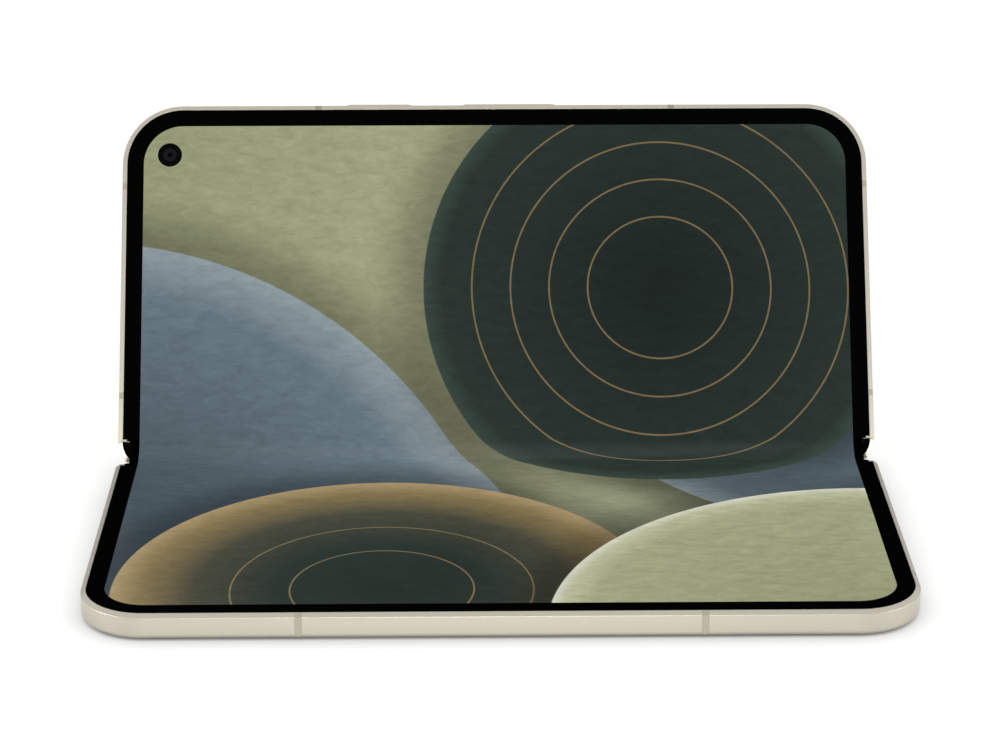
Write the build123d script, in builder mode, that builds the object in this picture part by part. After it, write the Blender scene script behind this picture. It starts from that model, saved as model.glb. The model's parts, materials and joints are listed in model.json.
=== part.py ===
"""Foldable smartphone, standing half open on its outer display.

The fold line runs along X. The base half lies flat and reaches towards -Y. The lid half
rises behind the fold. The origin is the middle of the base half's underside, +Z is up.
Each half is drawn in its own plane: x along the fold, y away from the fold line, z from
the outer glass to the screen. The hinge spine between the halves has a plane as well.
"""
from build123d import *
from math import cos, radians, sin
import os

os.makedirs("parts", exist_ok=True)

# ---------------------------------------------------------------- driving dimensions (mm)
half_width = 77.6           # middle of the fold line to the metal end edge
half_length = 75.2          # fold line to the far edge of one half
thickness = 5.2             # one half, outer glass to bezel top
corner_radius = 12.5
screen_angle = 121.0        # between the two screen halves, as the phone stands

# Metal frame
rim_width = 1.0             # metal round the screen, seen from above
rim_land = 0.15             # flat top of the rim inside its bevel
bevel_height = 0.62
frame_lift = 0.4            # lower edge of the metal above the outer glass
lower_round = 0.8
wall_thickness = 3.2        # side wall at mid height
glass_border = 1.3          # metal round the outer glass
break_width = 1.3           # plastic antenna breaks in the metal
break_x = 36.9              # antenna breaks on the long edge
break_near = 13.8           # antenna breaks on the end edges, from the fold line
break_far_gap = 17.2        # and from the far edge

# Screen stack
bezel_width = 3.42
screen_drop = 0.2           # screen face below the bezel's top
panel_thickness = 0.6
panel_overlap = 1.5         # panel border hidden under the bezel
bezel_seat_gap = 0.02       # bezel's underside above the panel
plate_thickness = 0.5
plate_ledge = 0.9           # step in the frame that carries the support plate
plate_slot_length = 18.0
plate_slot_width = 5.0
plate_slot_pitch = 30.0     # along the fold
plate_slot_rows = 24.0      # between the two rows of slots
plate_slot_shift = 4.0      # slots' middle beyond the half's middle
glass_thickness = 0.55
glue_gap = 0.05             # adhesive under glass and plates
fit_gap = 0.05              # round a piece set into another
round_trim = 0.01           # keeps a round end's radius under half its width

# Hinge
axis_height = 3.25          # hinge axes above the outer glass
closed_gap = 0.4            # between the bezels when the phone is shut
fold_gap = 0.2              # each half's lower lip to the fold's middle plane
spine_radius = 2.3          # spine cover's rounded sides, about each axis
spine_wall = 0.5
spine_gap = 0.15            # spine to frame, all round
rail_width = 1.6            # frame wall beside the spine
end_wall = 2.25             # frame walls past the spine's ends
cap_thickness = 0.8
plug_length = 1.2           # end cap's plug in the spine cover
plug_gap = 0.03
lip_near = 4.15             # rim ends here, next to the fold
lip_length = 0.45
lip_width = 0.8             # lip that covers the bezel's end
tail_height = 4.3           # frame tail below the rim, beside the fold
tail_inset = 1.8            # tail narrows this much at the fold
guard_depth = 0.7           # black guards let into the tails
module_inset = 19.6         # hinge modules' middle, from the end edges
strip_width = 2.0           # support strip under the fold
strip_gap = 0.03
shaft_radius = 0.5
running_gap = 0.1
knuckle_radius = 0.95
arm_width = 8.0
arm_reach = 12.5            # arm's end, from the fold line
arm_thickness = 0.55
arm_lift = 0.05             # arm's underside above the axes
arm_clearance = 0.1         # round an arm in its recess
pad_side = 2.0              # frame pad past each side of an arm
pad_end = 1.0               # and past its end
shaft_fit = 0.01            # round a shaft pressed into its arm
gear_teeth = 8
gear_width = 1.5
gear_addendum = 0.125
gear_dedendum = 0.185
tooth_root_width = 0.28
tooth_tip_width = 0.12
idler_pin_radius = 0.25
lug_thickness = 1.0
lug_gap = 0.2               # between neighbours along a shaft
clip_width = 2.0
clip_wall = 0.3
clip_slot_width = 0.3       # slit that lets a clip spring open
clip_slot_length = 0.5
bracket_thickness = 0.55
bracket_screw_pitch = 6.0
bracket_screw_radius = 0.28
bracket_head_radius = 0.6
bracket_head_height = 0.25
screw_radius = 0.45
screw_head_radius = 0.8
screw_head_height = 0.4
screw_pitch = 4.8
screw_reach = 9.6           # arm screws, from the fold line
tap_gap = 0.02              # round a screw in its tapped hole
tap_end = 0.05              # below its tip
tap_floor = 0.3             # pad left under an arm screw's hole

# Cover display, back glass and cameras
cover_panel_thickness = 0.65
glass_edge = 0.3            # bevel round the outer glass
hole_end_gap = 9.8          # inner camera's middle, from the top end's edge
hole_far_gap = 10.55        # and from the far edge
hole_radius = 2.53
hole_fit = 0.03             # window's edge to the screen
lens_radius = 1.35
lens_fit = 0.02             # round lenses and windows in their seats
lens_thickness = 0.35
window_thickness = 0.4
camera_side = 5.6           # inner camera's housing
camera_lift = 1.0           # housing above the back glass's seat
camera_round = 0.8
island_end_gap = 27.6       # rear camera island's middle, from the top end's edge
island_far_gap = 19.2       # and from the far edge
island_width = 27.0
island_length = 27.0
island_height = 1.3         # proud of the back glass
island_radius = 7.0
island_round = 0.5
island_seat = 0.3           # island's plate above the glass's seat
lens_pitch = 12.6
rear_window_radius = 5.2
small_window_radius = 3.6
flash_radius = 2.4
flash_proud = 0.05
ring_width = 0.7
ring_proud = 0.4            # lens rings above the island
window_proud = 0.3
window_seat = 0.2           # windows' seat below the island's face
window_ledge = 0.8
barrel_gap = 0.1            # lens barrel in its hole
barrel_depth = 0.45

# Keys, tray and port
power_x = -24.2
power_length = 13.8
rocker_x = 2.95
rocker_length = 19.5
key_height = 2.0
key_proud = 0.6
key_round = 0.25
key_level = 2.45            # keys' middle above the outer glass
key_travel = 0.3
key_gap = 0.12
flange_side = 0.6
flange_rise = 0.15          # flange past the key's top and bottom
flange_gap = 0.3            # flange behind the wall
flange_thickness = 0.4
switch_length = 3.4
switch_height = 1.6
switch_thickness = 0.6
switch_gap = 0.05           # left when a key is pressed home
switch_inset = 3.0          # rocker's switches, from its ends
switch_strip_thickness = 0.25
switch_strip_margin = 0.3
port_width = 8.34
port_height = 2.56
port_wall = 0.3
port_depth = 7.0
port_set_back = 0.6
port_level = 2.25
port_back = 0.6             # port's closed end
tongue_width = 6.69
tongue_thickness = 0.7
tongue_length = 5.6
tray_reach = 27.0           # card tray, from the fold line
tray_level = 2.95
tray_face_width = 13.0
tray_face_height = 1.5
tray_width = 11.0
tray_thickness = 0.8
tray_length = 19.0
tray_step = 0.4             # tray's plate starts inside its face
card_margin = 0.8           # plate left round the card
card_end = 2.0
card_rest = 0.1             # card's seat below the plate's middle
pin_inset = 1.4             # ejecting pin's hole, from the face's end
pin_hole_radius = 0.45
reader_gap = 0.15           # reader round the tray's plate
reader_wall = 0.35
reader_start = 0.2
reader_end = 0.4            # room behind the tray
sound_hole_radius = 0.5
sound_hole_pitch = 1.7
sound_hole_count = 6
mic_hole_radius = 0.45
mic_offset = 9.6            # microphone's hole, from the port's middle
base_mic_offset = 1.6
top_holes_offset = 6.65     # top end's speaker holes, beyond the half's middle
base_hole_level = 2.6

# Inner pieces: gaps and lengths
layer_gap = 0.1             # between pieces one above another
board_thickness = 0.8
main_board_thickness = 0.6
magnet_depth = 2.6
base_magnet_inset = 49.6    # magnets' middles, from the end edges
base_magnet_length = 18.0
base_magnet_gap = 0.8       # from the far wall
lid_magnet_insets = (51.6, 29.6)
lid_magnet_length = 14.0
lid_magnet_gap = 0.3
base_board_width = 30.0
base_board_end_gap = 6.4    # board to the end wall
base_chip = 16.0
charger_chip = 12.0
chip_cover_gap = 0.4        # shields below the support plate
cell_gap = 4.0              # between cells and their neighbours
near_gap = 1.0              # from the arms' pads to cells and boards
cell_radius = 2.0
board_radius = 1.5
chip_radius = 0.3
motor_length = 14.0
motor_width = 9.0
motor_end_gap = 4.4
ear_offset = 2.6            # earpiece before the half's middle
ear_width = 4.6
ear_length = 14.0
ear_end_gap = 1.3
cover_camera_side = 5.0
cover_camera_offset = 4.5   # from the board's end towards its middle
speaker_offset = 12.0       # loudspeaker beyond the port's middle
speaker_width = 11.0
speaker_length = 14.0
speaker_end_gap = 0.9
speaker_cell_gap = 3.5
main_board_width = 52.0
main_board_end_gap = 1.9
main_board_far_gap = 1.5    # board to the island
main_chip_width = 18.0
main_chip_length = 20.0
main_chip_gap = 3.5         # from the board's end
coil_radius = 21.0
coil_hole_radius = 10.0
coil_thickness = 0.35

# ---------------------------------------------------------------- derived sizes
half_turn = (180 - screen_angle) / 2                 # turn at each hinge axis, from flat
axis_offset = thickness - axis_height + closed_gap / 2
groove_radius = spine_radius + spine_gap
rail_near = axis_offset + groove_radius
rail_far = rail_near + rail_width
inner_end = half_width - end_wall                     # frame walls' inner faces past the spine
spine_half = inner_end - spine_gap
bevel_width = rim_width - rim_land
break_depth = rim_width
tail_bend = (lip_near ** 2 + tail_inset ** 2) / (2 * tail_inset)
guard_bottom = tail_height - guard_depth
room_end = half_width - wall_thickness                # inner faces of the end walls
room_far = half_length - wall_thickness               # and of the far wall
break_far = half_length - break_far_gap
module_x = half_width - module_inset
hole_x = half_width - hole_end_gap
hole_reach = half_length - hole_far_gap
island_x = half_width - island_end_gap
island_reach = half_length - island_far_gap
port_middle = half_length / 2
screen_top = thickness - screen_drop
panel_bottom = screen_top - panel_thickness
plate_bottom = panel_bottom - plate_thickness
glass_seat = glass_thickness + glue_gap
cover_panel_top = glass_seat + cover_panel_thickness
arm_bottom = axis_height + arm_lift
arm_top = arm_bottom + arm_thickness
pad_bottom = cover_panel_top + layer_gap
pad_far = arm_reach + pad_end
gear_spacing = 2 * axis_offset / 3
gear_tip = gear_spacing / 2 + gear_addendum
gear_root = gear_spacing / 2 - gear_dedendum
tooth_pitch = 360 / gear_teeth
module_places = (-module_x, module_x)

# Positions along X inside a hinge module, from its middle
arm_side = arm_width / 2
inner_lug = arm_side + lug_gap
gear_start = inner_lug + lug_thickness + lug_gap
gear_end = gear_start + gear_width
outer_lug = gear_end + lug_gap
clip_end = gear_start + clip_width
clip_lug = clip_end + lug_gap
shaft_start = -(clip_lug + lug_thickness)
shaft_end = outer_lug + lug_thickness


# ---------------------------------------------------------------- planes
def turned_plane(pivot, across, turn):
    """Plane turned about X, whose point (0, across, axis_height) lies on the pivot."""
    lean = Plane(origin=pivot, x_dir=(1, 0, 0), z_dir=(0, -sin(radians(turn)), cos(radians(turn))))
    origin = lean.from_local_coords(Vector(0, -across, -axis_height))
    return Plane(origin=origin, x_dir=lean.x_dir, z_dir=lean.z_dir)


base_plane = Plane(origin=(0, half_length / 2, 0), x_dir=(-1, 0, 0), z_dir=(0, 0, 1))
first_axis = base_plane.from_local_coords(Vector(0, axis_offset, axis_height))
spine_plane = turned_plane(first_axis, -axis_offset, half_turn)
second_axis = spine_plane.from_local_coords(Vector(0, axis_offset, axis_height))
lid_plane = turned_plane(second_axis, axis_offset, 2 * half_turn)


def section_plane(plane, x):
    """Plane across the fold at x: its x is the distance from the fold, its y the height."""
    return Plane(origin=plane.from_local_coords(Vector(x, 0, 0)), x_dir=plane.y_dir, z_dir=plane.x_dir)


def edge_plane(plane, reach):
    """Plane along the far edge: x along the fold, y the height, facing the fold line."""
    return Plane(origin=plane.from_local_coords(Vector(0, reach, 0)), x_dir=plane.x_dir, z_dir=-plane.y_dir)


# ---------------------------------------------------------------- plan faces and slabs
def half_face(inset, near):
    """One half in plan, inset from its outer edge: square at the fold, round at the far corners."""
    length = half_length - inset - near
    with BuildSketch() as face:
        with Locations((0, near)):
            Rectangle(2 * (half_width - inset), length, align=(Align.CENTER, Align.MIN))
        fillet(face.vertices().group_by(Axis.Y)[-1], corner_radius - inset)
    return face.sketch


def box_face(x, y, width, length, radius=0.0):
    """Rectangle about (x, y), with round corners if a radius is given."""
    with BuildSketch() as face:
        with Locations((x, y)):
            if radius:
                RectangleRounded(width, length, radius)
            else:
                Rectangle(width, length)
    return face.sketch


def round_face(places, radius):
    """Circles about the given places."""
    with BuildSketch() as face:
        with Locations(*places):
            Circle(radius)
    return face.sketch


def slab(plane, face, bottom, top, mode=Mode.ADD):
    """Add or cut a plan face between two heights."""
    with BuildSketch(plane.offset(bottom)) as placed:
        add(face)
    extrude(placed.sketch, amount=top - bottom, mode=mode)


def bar(plane, profile, start, end, mode=Mode.ADD):
    """Add or cut a profile drawn across the fold, from one x to another."""
    with BuildSketch(section_plane(plane, start)) as placed:
        add(profile)
    extrude(placed.sketch, amount=end - start, mode=mode)


def finish(part, name):
    """Name a finished piece and write it."""
    part.label = name
    export_step(part, f"parts/{name}.step")


# ---------------------------------------------------------------- metal frames
def rail_profile():
    """Frame beside the spine: floor lip under it, groove round it and the wall to the cavity."""
    with BuildSketch() as profile:
        floor = axis_height - groove_radius
        with BuildLine():
            Polyline((axis_offset, floor), (fold_gap, floor), (fold_gap, frame_lift),
                     (rail_far, frame_lift), (rail_far, plate_bottom), (rail_near, plate_bottom),
                     (rail_near, axis_height))
            RadiusArc((rail_near, axis_height), (axis_offset, floor), groove_radius)
        make_face()
    return profile.sketch


def tail_profile():
    """Frame tail past the spine's end: lower than the rim, rounded over towards the fold."""
    with BuildSketch() as profile:
        with BuildLine():
            Polyline((axis_offset, tail_height), (rail_far, tail_height), (rail_far, frame_lift),
                     (fold_gap, frame_lift), (fold_gap, axis_height))
            EllipticalCenterArc((axis_offset, axis_height), axis_offset - fold_gap,
                                tail_height - axis_height, start_angle=90, arc_size=90)
        make_face()
    return profile.sketch


def tail(plane, side):
    """Frame tail past one end of the spine: curved in, bevelled outside, rounded over at the fold."""
    start, end = sorted((side * inner_end, side * half_width))
    tip = (side * (half_width - tail_inset), 0)
    root = (side * half_width, lip_near)
    with BuildSketch() as face:
        with BuildLine():
            RadiusArc(tip, root, -side * tail_bend)
            Polyline(root, (side * (inner_end - rim_width), lip_near),
                     (side * (inner_end - rim_width), 0), tip)
        make_face()
    outward = Axis(plane.origin, side * plane.x_dir)
    with BuildPart() as half_tail:
        slab(plane, face.sketch, frame_lift, tail_height)
        levels = half_tail.faces().sort_by(Axis(plane.origin, plane.z_dir))
        bottom, top = levels[0], levels[-1]
        chamfer(top.edges().sort_by(outward)[-1], bevel_width, bevel_height, reference=top)
        fillet(bottom.edges().sort_by(outward)[-1], lower_round)
        bar(plane, tail_profile(), start, end, mode=Mode.INTERSECT)
    return half_tail.part


def guard_faces(gap):
    """Plan of the tails' tops inside their bevel, drawn in by a gap."""
    with BuildSketch() as faces:
        for side in (-1, 1):
            with BuildSketch(mode=Mode.PRIVATE) as guard:
                with Locations((side * (inner_end + half_width) / 2, (lip_near - gap) / 2)):
                    Rectangle(end_wall, lip_near - gap)
                with Locations((side * (half_width - tail_bend), lip_near)):
                    Circle(tail_bend - bevel_width - gap, mode=Mode.INTERSECT)
            add(guard.sketch)
    return faces.sketch


def break_faces(long_edge, end_edges):
    """Plan slots of the antenna breaks: on the far long edge and on both end edges."""
    with BuildSketch() as slots:
        with Locations(*[(x, half_length - break_depth) for x in long_edge]):
            Rectangle(break_width, 2 * break_depth, align=(Align.CENTER, Align.MIN))
        with Locations(*[(side * half_width, reach) for side in (-1, 1) for reach in end_edges]):
            Rectangle(2 * break_depth, break_width)
    return slots.sketch


def frame_blank(plane):
    """Outer form of a half's frame, before its pockets are cut."""
    up = Axis(plane.origin, plane.z_dir)
    out = Axis(plane.origin, plane.y_dir)
    with BuildPart() as blank:
        slab(plane, half_face(0, lip_near), frame_lift, thickness)
        top = blank.faces().sort_by(up)[-1]
        chamfer(top.edges().sort_by(out)[1:], bevel_width, bevel_height, reference=top)
        fillet(blank.faces().sort_by(up)[0].edges().sort_by(out)[1:], lower_round)
        bar(plane, rail_profile(), -inner_end, inner_end)
        add(tail(plane, -1))
        add(tail(plane, 1))
    return blank.part


def pad_faces():
    """Pads that carry the hinge arms, joined to the frame's hinge wall."""
    with BuildSketch() as pads:
        with Locations(*[(x, rail_far) for x in module_places]):
            Rectangle(arm_width + 2 * pad_side, pad_far - rail_far, align=(Align.CENTER, Align.MIN))
    return pads.sketch


def arm_faces(side_gap, near, far):
    """Plan of the hinge arms, widened by a gap."""
    with BuildSketch() as arms:
        with Locations(*[(x, near) for x in module_places]):
            Rectangle(arm_width + 2 * side_gap, far - near, align=(Align.CENTER, Align.MIN))
    return arms.sketch


def screw_places():
    """Arm screws in a half's plan: two in each arm."""
    return [(x + side * screw_pitch / 2, screw_reach) for x in module_places for side in (-1, 1)]


def screen_pocket():
    """Plan of the pocket for bezel and screen, with the rim's lips left at the fold."""
    inner = half_width - rim_width
    with BuildSketch() as pocket:
        add(half_face(rim_width, 0))
        with Locations((inner, 0), (-inner, 0)):
            Rectangle(2 * lip_width, 2 * (lip_near + lip_length), mode=Mode.SUBTRACT)
    return pocket.sketch


def hollow_frame(plane):
    """Cut a frame's pockets into the part being built, and add the pads under the arms."""
    plate_seat = wall_thickness - plate_ledge
    spine_groove = round_face([(axis_offset, axis_height)], groove_radius)
    slab(plane, screen_pocket(), panel_bottom, thickness, mode=Mode.SUBTRACT)
    slab(plane, half_face(plate_seat, rail_near), plate_bottom, panel_bottom, mode=Mode.SUBTRACT)
    slab(plane, half_face(wall_thickness, rail_far), glass_seat, plate_bottom, mode=Mode.SUBTRACT)
    slab(plane, half_face(glass_border, rail_far), 0, glass_seat, mode=Mode.SUBTRACT)
    slab(plane, box_face(0, rail_near / 2, 2 * inner_end, rail_near), axis_height, thickness,
         mode=Mode.SUBTRACT)
    bar(plane, spine_groove, -inner_end, inner_end, mode=Mode.SUBTRACT)
    slab(plane, guard_faces(0), guard_bottom, tail_height, mode=Mode.SUBTRACT)
    slab(plane, pad_faces(), pad_bottom, arm_bottom)
    slab(plane, arm_faces(arm_clearance, 0, pad_far), arm_bottom, plate_bottom, mode=Mode.SUBTRACT)
    slab(plane, round_face(screw_places(), screw_radius + tap_gap), pad_bottom + tap_floor, arm_bottom,
         mode=Mode.SUBTRACT)


def antenna_breaks(plane, long_edge, end_edges):
    """Plastic that fills the breaks: the frame's own outer form, kept only in the slots."""
    with BuildPart() as inserts:
        add(frame_blank(plane))
        slab(plane, break_faces(long_edge, end_edges), 0, thickness, mode=Mode.INTERSECT)
    return inserts.part


def sound_holes(plane, side, middle, level, count, radius):
    """Row of drilled holes through an end wall; side is -1 or +1 along the half's x."""
    start, end = sorted((side * (room_end - 1), side * (half_width + 1)))
    places = [(middle + (i - (count - 1) / 2) * sound_hole_pitch, level) for i in range(count)]
    bar(plane, round_face(places, radius), start, end, mode=Mode.SUBTRACT)


long_breaks = (-break_x, break_x)
end_breaks = (break_near, break_far)

with BuildPart() as base_frame:
    add(frame_blank(base_plane))
    hollow_frame(base_plane)
    slab(base_plane, break_faces(long_breaks, end_breaks), 0, thickness, mode=Mode.SUBTRACT)
    sound_holes(base_plane, 1, port_middle - ear_offset, base_hole_level, sound_hole_count,
                sound_hole_radius)
    sound_holes(base_plane, -1, port_middle - base_mic_offset, base_hole_level, 1, mic_hole_radius)
finish(base_frame.part, "base_frame")

finish(antenna_breaks(base_plane, long_breaks, end_breaks), "base_antenna_breaks")


def hinge_guards(plane):
    """Black guards that cover the tops of a half's frame tails beside the fold."""
    with BuildPart() as guards:
        slab(plane, guard_faces(fit_gap), guard_bottom + fit_gap, tail_height)
        bar(plane, tail_profile(), -half_width, half_width, mode=Mode.INTERSECT)
    return guards.part


finish(hinge_guards(base_plane), "base_hinge_guards")
finish(hinge_guards(lid_plane), "lid_hinge_guards")

# ---------------------------------------------------------------- lid frame with its openings
def key_slots(gap):
    """Slots for power key and volume rocker in the far wall."""
    with BuildSketch() as slots:
        for x, length in ((power_x, power_length), (rocker_x, rocker_length)):
            with Locations((x, key_level)):
                RectangleRounded(length + 2 * gap, key_height + 2 * gap, key_height / 2)
    return slots.sketch


with BuildPart() as lid_frame:
    add(frame_blank(lid_plane))
    hollow_frame(lid_plane)
    slab(lid_plane, break_faces(long_breaks, end_breaks), 0, thickness, mode=Mode.SUBTRACT)
    with BuildSketch(edge_plane(lid_plane, half_length + 1)) as key_opening:
        add(key_slots(key_gap))
    extrude(key_opening.sketch, amount=wall_thickness + 2, mode=Mode.SUBTRACT)
    port_slot = box_face(port_middle, port_level, port_width + 2 * port_wall + 2 * fit_gap,
                         port_height + 2 * port_wall + 2 * fit_gap, port_height / 2 + port_wall)
    bar(lid_plane, port_slot, room_end - 1, half_width + 1, mode=Mode.SUBTRACT)
    tray_slot = box_face(tray_reach, tray_level, tray_face_width + 2 * fit_gap,
                         tray_face_height + 2 * fit_gap, tray_face_height / 2)
    bar(lid_plane, tray_slot, -half_width - 1, -room_end + 1, mode=Mode.SUBTRACT)
    sound_holes(lid_plane, 1, port_middle + speaker_offset, port_level, sound_hole_count,
                sound_hole_radius)
    sound_holes(lid_plane, 1, port_middle - mic_offset, port_level, 1, mic_hole_radius)
    sound_holes(lid_plane, -1, port_middle + top_holes_offset, port_level, sound_hole_count,
                sound_hole_radius)
finish(lid_frame.part, "lid_frame")

finish(antenna_breaks(lid_plane, long_breaks, end_breaks), "lid_antenna_breaks")


# ---------------------------------------------------------------- screen, bezels and support plates
# The screen bends round a centre above the spine. Its middle stays at the flat screen's
# height over the spine, which settles the radius for the turn at which the phone stands.
turn_sin = sin(radians(half_turn))
turn_cos = cos(radians(half_turn))
screen_rise = screen_top - axis_height
bend_radius = (axis_offset * turn_sin + screen_rise * (turn_cos - 1)) / (1 - turn_cos)
bend_height = screen_top + bend_radius
bend_near = axis_offset - axis_offset * turn_cos + (bend_height - axis_height) * turn_sin
panel_near = bend_near + bezel_seat_gap
panel_inset = rim_width + bezel_width - panel_overlap


def bezel(plane):
    """Raised black border round a screen half, open at the fold, lapping over the panel's edge."""
    lip_inner = half_width - rim_width
    with BuildPart() as border:
        slab(plane, half_face(rim_width + fit_gap, panel_near), panel_bottom, thickness)
        slab(plane, half_face(panel_inset - fit_gap, 0), panel_bottom, screen_top + bezel_seat_gap,
             mode=Mode.SUBTRACT)
        slab(plane, half_face(rim_width + bezel_width, 0), panel_bottom, thickness, mode=Mode.SUBTRACT)
        with BuildSketch(plane.offset(panel_bottom)) as lips:
            with Locations((lip_inner, 0), (-lip_inner, 0)):
                Rectangle(2 * (lip_width + fit_gap), 2 * (lip_near + lip_length + fit_gap))
        extrude(lips.sketch, amount=thickness, mode=Mode.SUBTRACT)
    return border.part


finish(bezel(base_plane), "base_screen_bezel")
finish(bezel(lid_plane), "lid_screen_bezel")

with BuildPart() as base_screen_panel:
    slab(base_plane, half_face(panel_inset, panel_near), panel_bottom, screen_top)
finish(base_screen_panel.part, "base_screen_panel")

camera_place = [(-hole_x, hole_reach)]
with BuildPart() as lid_screen_panel:
    slab(lid_plane, half_face(panel_inset, panel_near), panel_bottom, screen_top)
    slab(lid_plane, round_face(camera_place, hole_radius), panel_bottom, screen_top, mode=Mode.SUBTRACT)
finish(lid_screen_panel.part, "lid_screen_panel")

with BuildPart() as display_fold:
    with BuildSketch(section_plane(spine_plane, -(half_width - panel_inset))):
        with Locations((0, bend_height)):
            Circle(bend_radius + panel_thickness)
            Circle(bend_radius, mode=Mode.SUBTRACT)
        with BuildLine():
            reach = 2 * bend_radius
            Polyline((0, bend_height), (-reach * turn_sin, bend_height - reach * turn_cos),
                     (reach * turn_sin, bend_height - reach * turn_cos), close=True)
        make_face(mode=Mode.INTERSECT)
    extrude(amount=2 * (half_width - panel_inset))
finish(display_fold.part, "display_fold")


def support_plate(plane, holes):
    """Metal plate under a screen half, on the frame's ledge, lightened by slots and drilled for holes."""
    inset = wall_thickness - plate_ledge + fit_gap
    with BuildPart() as plate:
        slab(plane, half_face(inset, rail_near), plate_bottom, panel_bottom)
        with BuildSketch(plane.offset(plate_bottom)) as slots:
            with Locations((0, half_length / 2 + plate_slot_shift)):
                with GridLocations(plate_slot_pitch, plate_slot_rows, 4, 2):
                    SlotOverall(plate_slot_length, plate_slot_width)
        extrude(slots.sketch, amount=plate_thickness, mode=Mode.SUBTRACT)
        if holes:
            slab(plane, round_face(holes, hole_radius + ring_width), plate_bottom, panel_bottom,
                 mode=Mode.SUBTRACT)
    return plate.part


finish(support_plate(base_plane, []), "base_support_plate")
finish(support_plate(lid_plane, camera_place), "lid_support_plate")

# ---------------------------------------------------------------- hinge spine
def spine_face(radius, top):
    """Rounded trough about both hinge axes, cut off at a height."""
    with BuildSketch() as face:
        with Locations((0, axis_height)):
            SlotCenterToCenter(2 * axis_offset, 2 * radius)
        with Locations((0, top)):
            Rectangle(4 * spine_radius + 4 * axis_offset, 2 * thickness,
                      align=(Align.CENTER, Align.MIN), mode=Mode.SUBTRACT)
    return face.sketch


spine_top = axis_height - spine_gap
trough_radius = spine_radius - spine_wall
plug_radius = trough_radius - plug_gap
floor_top = axis_height - trough_radius
bracket_floor = floor_top + bracket_thickness
bracket_screws_bottom = axis_height - spine_radius + tap_gap
bracket_screw_places = [(x + side * bracket_screw_pitch / 2, 0) for x in module_places for side in (-1, 1)]
cover_half = spine_half - cap_thickness
with BuildPart() as spine_cover:
    bar(spine_plane, spine_face(spine_radius, spine_top), -cover_half, cover_half)
    bar(spine_plane, spine_face(trough_radius, thickness), -spine_half, spine_half, mode=Mode.SUBTRACT)
    slab(spine_plane, round_face(bracket_screw_places, bracket_screw_radius + tap_gap),
         bracket_screws_bottom + layer_gap, floor_top, mode=Mode.SUBTRACT)
finish(spine_cover.part, "spine_cover")

cap_top = axis_height + knuckle_radius - arm_lift
with BuildPart() as spine_end_caps:
    for side in (-1, 1):
        outer = sorted((side * cover_half, side * spine_half))
        plug = sorted((side * (cover_half - plug_length), side * cover_half))
        bar(spine_plane, spine_face(spine_radius, cap_top), *outer)
        bar(spine_plane, spine_face(plug_radius, cap_top), *plug)
finish(spine_end_caps.part, "spine_end_caps")

lug_radius = knuckle_radius - arm_lift
lug_starts = (-clip_lug - lug_thickness, -inner_lug - lug_thickness, inner_lug, outer_lug)
with BuildPart() as hinge_brackets:
    bore_places = [(-axis_offset, axis_height), (axis_offset, axis_height)]
    idler_places = [(-gear_spacing / 2, axis_height), (gear_spacing / 2, axis_height)]
    for x in module_places:
        bar(spine_plane, spine_face(plug_radius, bracket_floor), x + shaft_start, x + shaft_end)
        for start in lug_starts:
            with BuildSketch(section_plane(spine_plane, x + start)) as lug:
                with Locations((0, axis_height)):
                    SlotCenterToCenter(2 * axis_offset, 2 * lug_radius)
                with Locations((0, (floor_top + axis_height) / 2)):
                    Rectangle(2 * axis_offset + 2 * lug_radius, axis_height - floor_top)
                add(spine_face(plug_radius, thickness), mode=Mode.INTERSECT)
                add(round_face(bore_places, shaft_radius + running_gap), mode=Mode.SUBTRACT)
                if start > 0:
                    add(round_face(idler_places, idler_pin_radius + running_gap / 2), mode=Mode.SUBTRACT)
            extrude(lug.sketch, amount=lug_thickness)
    slab(spine_plane, round_face(bracket_screw_places, bracket_screw_radius + tap_gap), floor_top,
         bracket_floor, mode=Mode.SUBTRACT)
finish(hinge_brackets.part, "hinge_brackets")

with BuildPart() as bracket_screws:
    slab(spine_plane, round_face(bracket_screw_places, bracket_screw_radius),
         bracket_screws_bottom + layer_gap + tap_end, bracket_floor)
    slab(spine_plane, round_face(bracket_screw_places, bracket_head_radius),
         bracket_floor, bracket_floor + bracket_head_height)
finish(bracket_screws.part, "bracket_screws")

with BuildPart() as fold_support_strip:
    slab(spine_plane, box_face(0, 0, 2 * cover_half, strip_width),
         cap_top + strip_gap, panel_bottom - strip_gap)
finish(fold_support_strip.part, "fold_support_strip")

clip_radius = shaft_radius + running_gap / 2
with BuildPart() as friction_clips:
    for x in module_places:
        for side in (-1, 1):
            with BuildSketch(section_plane(spine_plane, x - clip_end)) as clip:
                with Locations((side * axis_offset, axis_height)):
                    Circle(clip_radius + clip_wall)
                with Locations((side * (axis_offset - clip_wall), (bracket_floor + axis_height) / 2)):
                    Rectangle(clip_wall, axis_height - bracket_floor)
                with Locations((side * axis_offset, axis_height)):
                    Circle(clip_radius, mode=Mode.SUBTRACT)
                with Locations((side * (axis_offset + clip_radius), axis_height)):
                    Rectangle(clip_slot_length + clip_wall, clip_slot_width, mode=Mode.SUBTRACT)
            extrude(clip.sketch, amount=clip_width)
finish(friction_clips.part, "friction_clips")


# ---------------------------------------------------------------- arms, shafts and gears
def gear_face(y, phase):
    """Gear with straight-sided teeth about (y, axis_height); the first tooth points at the phase."""
    root = gear_root - tooth_root_width
    with BuildSketch() as face:
        with Locations((y, axis_height)):
            Circle(gear_root)
            with PolarLocations(0, gear_teeth, start_angle=phase):
                Polygon((root, -tooth_root_width / 2), (gear_tip, -tooth_tip_width / 2),
                        (gear_tip, tooth_tip_width / 2), (root, tooth_root_width / 2), align=None)
    return face.sketch


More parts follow.
